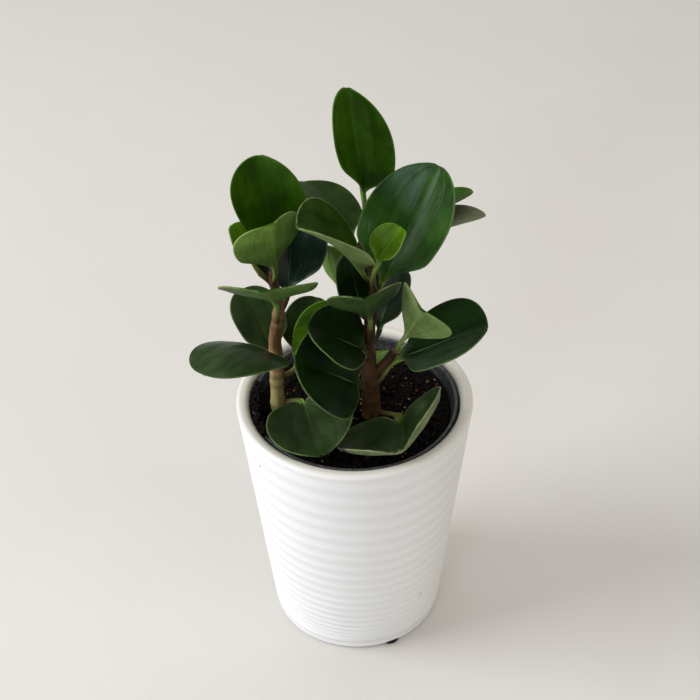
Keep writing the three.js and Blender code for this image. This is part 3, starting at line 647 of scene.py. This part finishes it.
def waxyLeaf(name, look, relief):
    # Thick succulent leaf under a cuticle of wax: a clear satin gloss over mottled green,
    # long veins beside a paler rib, and a thin pale rim that lets light through.
    wax = cuticleLook
    material, tree, spot = newMaterial(name)
    place = addNode(tree, "SeparateXYZ", {0: addNode(tree, "UVMap", uv_map="leafMap")})
    vein = addNode(tree, "SeparateXYZ", {0: addNode(tree, "UVMap", uv_map="veinMap")})
    across, along, phase, edge = place.outputs[0], place.outputs[1], vein.outputs[0], vein.outputs[1]

    cloud = addNode(tree, "TexNoise", {"Vector": spot, "Scale": 1 / (wax["cloudSize"] * mm), "Detail": 3})
    stretched = addNode(tree, "CombineXYZ", {
        0: addNode(tree, "Math", {0: across, 1: 0.42}, operation="MULTIPLY"),
        1: addNode(tree, "Math", {0: along, 1: 1.6}, operation="MULTIPLY"),
        2: addNode(tree, "Math", {0: cloud, 1: 1.5}, operation="MULTIPLY")})
    streaks = addNode(tree, "TexNoise", {"Vector": stretched, "Scale": 1.0, "Detail": 2})
    blend = addNode(tree, "Math", {0: streaks, 1: 0.35, 2: cloud}, operation="MULTIPLY_ADD")
    share = addNode(tree, "MapRange", {0: blend, 1: 0.48, 2: 0.86})
    green = addNode(tree, "Mix", {0: share, 6: look["shade"], 7: look["light"]})

    # long veins, where the vein phase comes near a whole number
    shaken = addNode(tree, "Math", {0: streaks, 1: 0.2, 2: phase}, operation="MULTIPLY_ADD")
    ping = addNode(tree, "Math", {0: shaken, 1: 0.5}, operation="PINGPONG")
    line = addNode(tree, "MapRange", {0: ping, 1: 0.0, 2: wax["veinWidth"], 3: 1.0, 4: 0.0},
                   interpolation_type="SMOOTHSTEP")
    fadeOut = addNode(tree, "MapRange", {0: edge, 1: 0.5, 2: 6.0})
    veinShare = addNode(tree, "Math", {0: line, 1: fadeOut}, operation="MULTIPLY")
    tinted = addNode(tree, "Math", {0: veinShare, 1: look["veinShare"]}, operation="MULTIPLY")

    # midrib: about 2 mm wide at the petiole, fading towards the tip
    aside = addNode(tree, "Math", {0: across}, operation="ABSOLUTE")
    wide, narrow = wax["ribWidths"]
    ribWidth = addNode(tree, "MapRange", {0: along, 1: 0.0, 2: wax["ribEnd"], 3: wide, 4: narrow})
    ribNear = addNode(tree, "Math", {0: aside, 1: ribWidth}, operation="DIVIDE")
    ribShare = addNode(tree, "MapRange", {0: ribNear, 1: 0.1, 2: 0.8, 3: 0.8, 4: 0.0},
                       interpolation_type="SMOOTHSTEP")
    ribFade = addNode(tree, "MapRange", {0: along, 1: 0.1, 2: look["ribReach"], 3: 1.0, 4: 0.05})
    ribMask = addNode(tree, "Math", {0: ribShare, 1: ribFade}, operation="MULTIPLY")
    neck = addNode(tree, "MapRange", {0: along, 1: 0.0, 2: wax["neckEnd"], 3: 1.0, 4: 0.0},
                   interpolation_type="SMOOTHSTEP")
    near, far = wax["rimReach"]
    rimShare = addNode(tree, "MapRange", {0: edge, 1: near, 2: far, 3: 0.8, 4: 0.0})
    colour = green
    for share, layer in ((tinted, "vein"), (ribMask, "rib"), (neck, "neck"), (rimShare, "rim")):
        colour = addNode(tree, "Mix", {0: share, 6: colour, 7: look[layer]})

    pores = addNode(tree, "TexNoise", {"Vector": spot, "Scale": 1 / (wax["poreSize"] * mm), "Detail": 3})
    ripple = addNode(tree, "Math", {0: streaks, 1: 0.35}, operation="MULTIPLY")
    pitted = addNode(tree, "Math", {0: pores, 1: wax["pores"], 2: ripple}, operation="MULTIPLY_ADD")
    height = addNode(tree, "Math", {0: veinShare, 1: relief, 2: pitted}, operation="MULTIPLY_ADD")
    bump = addNode(tree, "Bump", {"Height": height, "Strength": 0.5, "Distance": wax["bumpDepth"] * mm})
    dull = addNode(tree, "MapRange", {0: pores, 1: 0.3, 2: 0.7, 3: look["roughness"] - 0.05,
                                      4: look["roughness"] + 0.07})
    shader = addNode(tree, "BsdfPrincipled", {
        "Base Color": colour, "Roughness": dull, "Normal": bump,
        "IOR": wax["ior"], "Specular IOR Level": look["specular"], "Subsurface Weight": look["glow"],
        "Subsurface Radius": wax["glowRadius"], "Subsurface Scale": wax["glowDepth"] * mm})
    return finished(material, shader)


def fleshyPetiole(name, colours):
    # Fleshy leaf stalk: green near the blade, flushed red-brown where it leaves the stem.
    material, tree, spot = newMaterial(name)
    place = addNode(tree, "SeparateXYZ", {0: addNode(tree, "UVMap", uv_map="leafMap")})
    mottle = addNode(tree, "TexNoise", {"Vector": spot, "Scale": 1 / (2.5 * mm), "Detail": 3})
    shifted = addNode(tree, "Math", {0: mottle, 1: 0.25, 2: place.outputs[1]}, operation="MULTIPLY_ADD")
    climb = addNode(tree, "MapRange", {0: shifted, 1: -0.9, 2: 0.12})
    ramp = addNode(tree, "ValToRGB", {0: climb})
    setStops(ramp, petioleStops, colours)
    bump = addNode(tree, "Bump", {"Height": mottle, "Strength": 0.25, "Distance": 0.2 * mm})
    shader = addNode(tree, "BsdfPrincipled", {
        "Base Color": ramp, "Roughness": petioleRoughness, "Normal": bump,
        "IOR": cuticleLook["ior"], "Specular IOR Level": petioleSpecular})
    return finished(material, shader)


def leafMaterials(finishes, ending, relief):
    return {name: waxyLeaf(name + ending, dict(zip(finishFields, row)), relief)
            for name, row in finishes.items()}


topMaterials = leafMaterials(leafTops, "LeafTop", -0.3)  # sunken veins
underMaterials = leafMaterials(leafUndersides, "LeafUnderside", 0.6)  # raised veins
petioleMaterials = {name: fleshyPetiole(name + "Petiole", row) for name, row in petioleLooks.items()}

# leaf shapes
bladeLook = {
    "neckWidth": 0.25, "neckLength": 0.3, "midThickness": 1.3, "rimThickness": 0.8, "tipPower": 0.46,
    "funnelFold": 35, "funnelLength": 0.35, "firstStation": 0.03, "lastStation": 0.9985,
    "stations": 44, "columns": 36, "softFold": 1.1, "rimRound": 0.35, "swell": 0.4, "edgeWave": 0.35,
    "veins": 2.6, "veinDrift": 0.6, "quilting": 0.05, "curlWidth": 4.5, "lobes": (0.03, 0.12, 0.5),
    "ribHeight": 0.9, "ribWidth": 1.3,
}
softFolds = {"right_leaf_02": 3.2, "right_leaf_04": 2.4}  # mm, for leaves with no sharp fold along the rib
stalkLook = {"rings": 20, "rootRadius": 1.7, "bladeRadius": 1.3, "collar": 0.5, "flareFrom": 0.55}


def halfWidth(leaf, t):
    t = np.clip(t, 1e-4, 1 - 1e-6)
    widest, power = leaf["widest"], bladeLook["tipPower"]
    basePower = power * widest / (1 - widest)
    neck = bladeLook["neckWidth"] + (1 - bladeLook["neckWidth"]) * smoothStep(0, bladeLook["neckLength"], t)
    return leaf["width"] / 2 * neck * (t / widest) ** basePower * ((1 - t) / (1 - widest)) ** power


def lobeReach(leaf, t, u):
    plus, minus = leafLobes.get(leaf["name"], (0, 0))
    start, peak, end = bladeLook["lobes"]
    share = smoothStep(start, peak, t) * (1 - smoothStep(peak, end, t))
    return np.where(u > 0, plus, minus) * smoothStep(0.1, 1, np.abs(u)) * share


def bladePoints(leaf, t, u):
    bend = radians(leaf["bend"] or 0.01)
    turn = bend * t
    along = leaf["length"] * np.sin(turn) / bend - lobeReach(leaf, t, u)
    drop = -leaf["length"] * (1 - np.cos(turn)) / bend
    funnel = bladeLook["funnelFold"] * np.maximum(0, 1 - t / bladeLook["funnelLength"]) ** 2
    tilt = np.radians(leaf["fold"] + funnel + leaf["cup"] * np.abs(u) / 2)
    reach = np.abs(u) * halfWidth(leaf, t)
    soft = softFolds.get(leaf["name"], bladeLook["softFold"]) * smoothStep(0.05, 0.3, t)
    lift = (np.sqrt(reach ** 2 + soft ** 2) - soft * 0.6) * np.sin(tilt)
    slip = np.sign(u) * reach * sin(radians(leaf["skew"]))
    return np.stack([along + lift * np.sin(turn) + slip * np.cos(turn),
                     -np.sign(u) * reach * np.cos(tilt),
                     drop + lift * np.cos(turn) - slip * np.sin(turn)], -1)


def veinPhase(t, u):
    return bladeLook["veins"] * np.abs(u) - bladeLook["veinDrift"] * t


def bladeNormals(leaf, t, u):
    # from points a little before and behind, and a little to either side
    t = np.clip(t, 0.006, 0.994)
    lengthwise = bladePoints(leaf, t + 0.004, u) - bladePoints(leaf, t - 0.004, u)
    crosswise = bladePoints(leaf, t, u - 0.08) - bladePoints(leaf, t, u + 0.08)
    normal = np.cross(lengthwise, crosswise)
    return normal / np.linalg.norm(normal, axis=-1, keepdims=True)


def placement(leaf):
    turn = (Matrix.Rotation(radians(leaf["heading"]), 4, "Z")
            @ Matrix.Rotation(-radians(leaf["rise"]), 4, "Y")
            @ Matrix.Rotation(radians(leaf["roll"]), 4, "X"))
    return np.array(Matrix.Translation(Vector(leaf["base"])) @ turn)


def edgeDistance(leaf, t, u):
    outline = np.linspace(0, 1, 200)
    wide = halfWidth(leaf, outline)
    spots = np.stack([t * leaf["length"], np.abs(u) * halfWidth(leaf, t)], -1)
    return np.hypot(spots[..., None, 0] - outline * leaf["length"], spots[..., None, 1] - wide).min(-1)


def stalkRings(leaf, matrix, firstRing):
    look, root = stalkLook, pointOnStem(leaf["stem"], leaf["joint"])
    start, heading = matrix[:3, 3], matrix[:3, 0]
    reach = np.linalg.norm(start - root) * 0.4
    outward = (start - root) * (1, 1, 0.5)
    outward /= np.linalg.norm(outward)
    controls = [root, root + outward * reach, start - heading * reach, start]
    count = look["rings"]
    s = (np.arange(count) / count)[:, None]
    weights = ((1 - s) ** 3, 3 * s * (1 - s) ** 2, 3 * s ** 2 * (1 - s), s ** 3)
    centres = sum(w * c for w, c in zip(weights, controls))
    slopes = ((1 - s) ** 2, 2 * s * (1 - s), s ** 2)
    tangents = sum(w * (b - a) for w, a, b in zip(slopes, controls, controls[1:]))
    tangents /= np.linalg.norm(tangents, axis=1, keepdims=True)
    up = matrix[:3, 2]
    size = len(firstRing)
    angles = 2 * pi * (np.arange(size) + 1) / size
    flattened = np.where(angles < pi, 0.8, 1)  # on the upper side
    rings = np.zeros((count, size, 3))
    for i in reversed(range(count)):
        up = up - tangents[i] * (up @ tangents[i])
        up = up / np.linalg.norm(up)
        leftwards = np.cross(up, tangents[i])
        share = float(s[i, 0])
        radius = look["rootRadius"] + (look["bladeRadius"] - look["rootRadius"]) * share ** 0.5
        radius += look["collar"] * exp(-(share / 0.12) ** 2)
        flare = float(smoothStep(look["flareFrom"], 1.0, share))
        circle = np.stack([0 * angles, radius * np.cos(angles), radius * np.sin(angles) * flattened], -1)
        ring = circle * (1 - flare) + firstRing * flare
        rings[i] = centres[i] + ring @ np.stack([tangents[i], leftwards, up])
    return rings


def makeLeaf(leaf, number):
    look = bladeLook
    columns, stations = look["columns"], look["stations"]
    steps = np.linspace(-1, 1, columns + 1)
    sides = 0.45 * steps + 0.55 * np.sin(steps * pi / 2)
    first, last = look["firstStation"], look["lastStation"]
    t = first + (last - first) * (1 - np.cos(pi * np.arange(stations + 1) / stations)) / 2
    grid, across = np.meshgrid(t, sides, indexing="ij")
    middle, normal = bladePoints(leaf, grid, across), bladeNormals(leaf, grid, across)
    seed = number * 7.3
    swell = np.array([[noise.noise(Vector((a * 2.4 + seed, b * 1.6, seed))) for b in sides] for a in t])
    waves = np.sin(grid * 9 + seed + np.sign(across)) * np.abs(across) ** 3
    edges = edgeDistance(leaf, grid, across)
    quilted = -np.cos(2 * pi * veinPhase(grid, across)) * smoothStep(0.06, 0.22, np.abs(across))
    atMargin = 1 - smoothStep(0, 1, edges / look["curlWidth"])
    curl = leafCurl.get(leaf["name"], 0) * smoothStep(0.25, 0.6, grid) * atMargin
    settle = (smoothStep(0.08, 0.4, grid) * (look["swell"] * swell + look["quilting"] * quilted)
              + smoothStep(0.2, 0.6, grid) * look["edgeWave"] * waves + curl)
    middle = middle + normal * settle[..., None]
    atRib, atRim = look["midThickness"], look["rimThickness"]
    thickness = (atRib + (atRim - atRib) * np.abs(across))[..., None] / 2
    nearRib = np.exp(-(across * halfWidth(leaf, grid) / look["ribWidth"]) ** 2)
    ridge = (look["ribHeight"] * nearRib * (1 - grid) ** 1.5)[..., None]
    top = middle + normal * thickness
    under = middle - normal * (thickness + ridge)
    margins = middle[:, [0, -1]]
    outwards = margins - middle[:, [1, -2]]
    outwards /= np.linalg.norm(outwards, axis=-1, keepdims=True)
    rims = margins + outwards * look["rimRound"]
    rings = np.concatenate([top, rims[:, 1:2], under[:, ::-1], rims[:, 0:1]], axis=1)
    ringU = np.concatenate([sides, [1], sides[::-1], [-1]])
    size = rings.shape[1]

    matrix = placement(leaf)
    firstRing = rings[0] - np.array([first * leaf["length"], 0, 0])
    stalk = stalkRings(leaf, matrix, firstRing)
    blade = rings @ matrix[:3, :3].T + matrix[:3, 3]
    points = np.concatenate([stalk.reshape(-1, 3), blade.reshape(-1, 3)])

    stalkShare = np.repeat(np.arange(stalkLook["rings"]) / stalkLook["rings"] - 1, size)
    bladeT, bladeU = np.repeat(t, size), np.tile(ringU, stations + 1)
    flatX = bladeU * halfWidth(leaf, bladeT)
    phase = veinPhase(bladeT, bladeU)
    edge = edgeDistance(leaf, bladeT, bladeU)
    noVein = np.stack([0 * stalkShare, np.full(len(stalkShare), 9.0)], -1)
    leafMap = np.concatenate([np.stack([0 * stalkShare, stalkShare], -1), np.stack([flatX, bladeT], -1)])
    veinMap = np.concatenate([noVein, np.stack([phase, edge], -1)])

    rows = stalkLook["rings"] + stations + 1
    faces = loftFaces(rows, size)
    ringSlot = [0] * (columns + 1) + [1] * (columns + 1) + [1, 0]
    slots = [2] * (size * stalkLook["rings"]) + ringSlot[:size] * stations + [2, 0]
    words = leaf["name"].split("_")
    materials = [topMaterials[leaf["top"]], underMaterials[leaf["underside"]],
                 petioleMaterials[leaf["petiole"]]]
    addPiece(words[0] + "Leaf" + words[2], points, faces, materials, [leaf["name"]],
             faceSlots=slots, maps={"leafMap": leafMap, "veinMap": veinMap})


for number, leaf in enumerate(leaves):
    makeLeaf(leaf, number)
print("leaves made:", len(leaves))

# potting mix: dark peat with its crumbs, perlite and chips of bark
soilLook = {
    "level": 138.5, "crown": 2, "unevenness": 1.1, "clearance": 0.3, "rings": 90, "around": 200, "seed": 5,
    "grains": ((1.5, 6, 0), (0.8, 2.4, 5)),  # height, size and offset of the bed's own lumps
    "finish": ("dampPeat", "#0b0806", "#1c130d", 2.2, 0.9),  # name, dark, light, grain size, roughness
    "roomAtStem": 5, "roomAtRim": 1.5,
}
looseLook = {
    "soilCrumbs": {"count": 1500, "sizes": (0.5, 1.9), "flatness": 0.8, "sink": 0.35,
                   "finish": ("peatCrumbs", "#100b08", "#2a1d15", 1.4, 0.85)},
    "soilPerlite": {"count": 85, "sizes": (0.35, 0.9), "flatness": 0.9, "sink": 0.9,
                    "finish": ("expandedPerlite", "#a89c88", "#cfc7b8", 0.8, 0.8)},
    "soilBark": {"count": 110, "sizes": (0.5, 1.3), "flatness": 0.35, "sink": 1.0,
                 "finish": ("barkChips", "#7c5129", "#b07f42", 1.2, 0.8)},
}
heapLook = {"piece": "soilCrumbs", "count": 420, "middle": 188, "spread": 24, "radii": (43, 54.3),
            "sizes": (0.6, 1.5), "onRim": 0.55}


def looseMix(name, dark, light, grainSize, roughness):
    # Peat and bark crumbs, damp below and drying on top: matt, broken and almost black.
    material, tree, spot = newMaterial(name)
    lumps = addNode(tree, "TexNoise", {"Vector": spot, "Scale": 1 / (grainSize * mm), "Detail": 6,
                                       "Roughness": 0.65})
    share = addNode(tree, "MapRange", {0: lumps, 1: 0.42, 2: 0.72})
    tint = addNode(tree, "Mix", {0: share, 6: dark, 7: light})
    bump = addNode(tree, "Bump", {"Height": lumps, "Strength": 0.8, "Distance": 0.5 * mm})
    shader = addNode(tree, "BsdfPrincipled", {
        "Base Color": tint, "Roughness": roughness, "Normal": bump, "Specular IOR Level": 0.2})
    return finished(material, shader)


def soilHeight(x, y):
    reach = hypot(x, y) / nurseryPotLook["shoulderRadius"]
    lumps = sin(x * 0.21 + 1.3) * cos(y * 0.17 - 0.6) + 0.5 * sin(x * 0.43 - y * 0.37)
    crown, uneven = soilLook["crown"] * (1 - reach ** 2), soilLook["unevenness"] * lumps * (1 - reach ** 4)
    return soilLook["level"] + crown + uneven


def makeSoilBed(look):
    bottom = nurseryPotLook["footHeight"] + nurseryPotLook["wall"] + look["clearance"]
    topRadius = nurseryInnerRadius(look["level"]) - look["clearance"]
    rings, around = look["rings"], look["around"]
    points = []
    for i in range(rings):
        for k in range(around):
            angle = 2 * pi * k / around
            radius = topRadius * max(i, 0.02) / (rings - 1)
            x, y = polar(radius, angle)
            rough = sum(height * wobble(x, y, offset, size) for height, size, offset in look["grains"])
            points.append((x, y, soilHeight(x, y) + rough * min(1, (topRadius - radius) / 2)))
    lowRadius = nurseryInnerRadius(bottom) - look["clearance"] - 1
    points += ringPoints([(lowRadius, bottom)], around)
    faces = [tuple(reversed(face)) for face in loftFaces(rings + 1, around)]
    addPiece("soilBed", points, faces, [looseMix(*look["finish"])], ["soil"])


def lumpPoints(dice, size, flatness):
    mesh = bpy.data.meshes.get("lumpSeed") or makeLumpSeed()
    base = np.array([v.co for v in mesh.vertices])
    offset = dice.random() * 50
    swell = np.array([1 + 0.55 * noise.noise(Vector(p) * 1.7 + Vector((offset, 0, 0))) for p in base])
    shape = base * swell[:, None] * size * (1, dice.uniform(0.6, 1), flatness)
    turn = Matrix.Rotation(dice.uniform(0, 6.28), 3, "Z") @ Matrix.Rotation(dice.uniform(-0.7, 0.7), 3, "X")
    return shape @ np.array(turn).T


def makeLumpSeed():
    seed = bpy.data.meshes.new("lumpSeed")
    form = bmesh.new()
    bmesh.ops.create_icosphere(form, subdivisions=1, radius=1)
    form.to_mesh(seed)
    form.free()
    return seed


def spilledCrumbs(heap, flatness, dice):
    # crumbs heaped against the left of the nursery pot's rim, and a few that lie on the rim itself
    lumps = []
    rimTop, rimInside = nurseryPotLook["rimTop"], nurseryPotLook["rimRadius"] - 3
    for _ in range(heap["count"]):
        turn = dice.uniform(-1, 1)
        angle = radians(heap["middle"] + heap["spread"] * turn)
        radius, size = dice.uniform(*heap["radii"]), dice.uniform(*heap["sizes"])
        x, y = polar(radius, angle)
        if radius + size > rimInside:
            z = rimTop + size * heap["onRim"]
        else:
            climb = smoothStep(heap["radii"][0], rimInside, radius) * (1 - turn ** 2) * dice.random()
            z = soilHeight(x, y) + climb * (rimTop - soilHeight(x, y))
        lumps.append(lumpPoints(dice, size, flatness) + (x, y, z))
    return lumps


def scatterLumps(name, look, dice):
    lumps = spilledCrumbs(heapLook, look["flatness"], dice) if name == heapLook["piece"] else []
    total = len(lumps) + look["count"]
    limit = nurseryInnerRadius(soilLook["level"]) - soilLook["roomAtRim"]
    feet = [pointOnStem(side, soilLook["level"] + 0.5) for side in ("left", "right")]
    while len(lumps) < total:
        radius, angle = limit * sqrt(dice.random()), dice.uniform(0, 2 * pi)
        x, y = polar(radius, angle)
        size = dice.uniform(*look["sizes"])
        nearStem = any(hypot(x - foot[0], y - foot[1]) < soilLook["roomAtStem"] + size for foot in feet)
        if radius + size <= limit and not nearStem:
            place = (x, y, soilHeight(x, y) + size * look["sink"])
            lumps.append(lumpPoints(dice, size, look["flatness"]) + place)
    polygons = [tuple(polygon.vertices) for polygon in bpy.data.meshes["lumpSeed"].polygons]
    size = len(lumps[0])
    faces = [tuple(size * i + k for k in polygon) for i in range(len(lumps)) for polygon in polygons]
    addPiece(name, np.concatenate(lumps), faces, [looseMix(*look["finish"])])


makeSoilBed(soilLook)
seededDice = random.Random(soilLook["seed"])
for name, look in looseLook.items():
    scatterLumps(name, look, seededDice)
print("soil made")
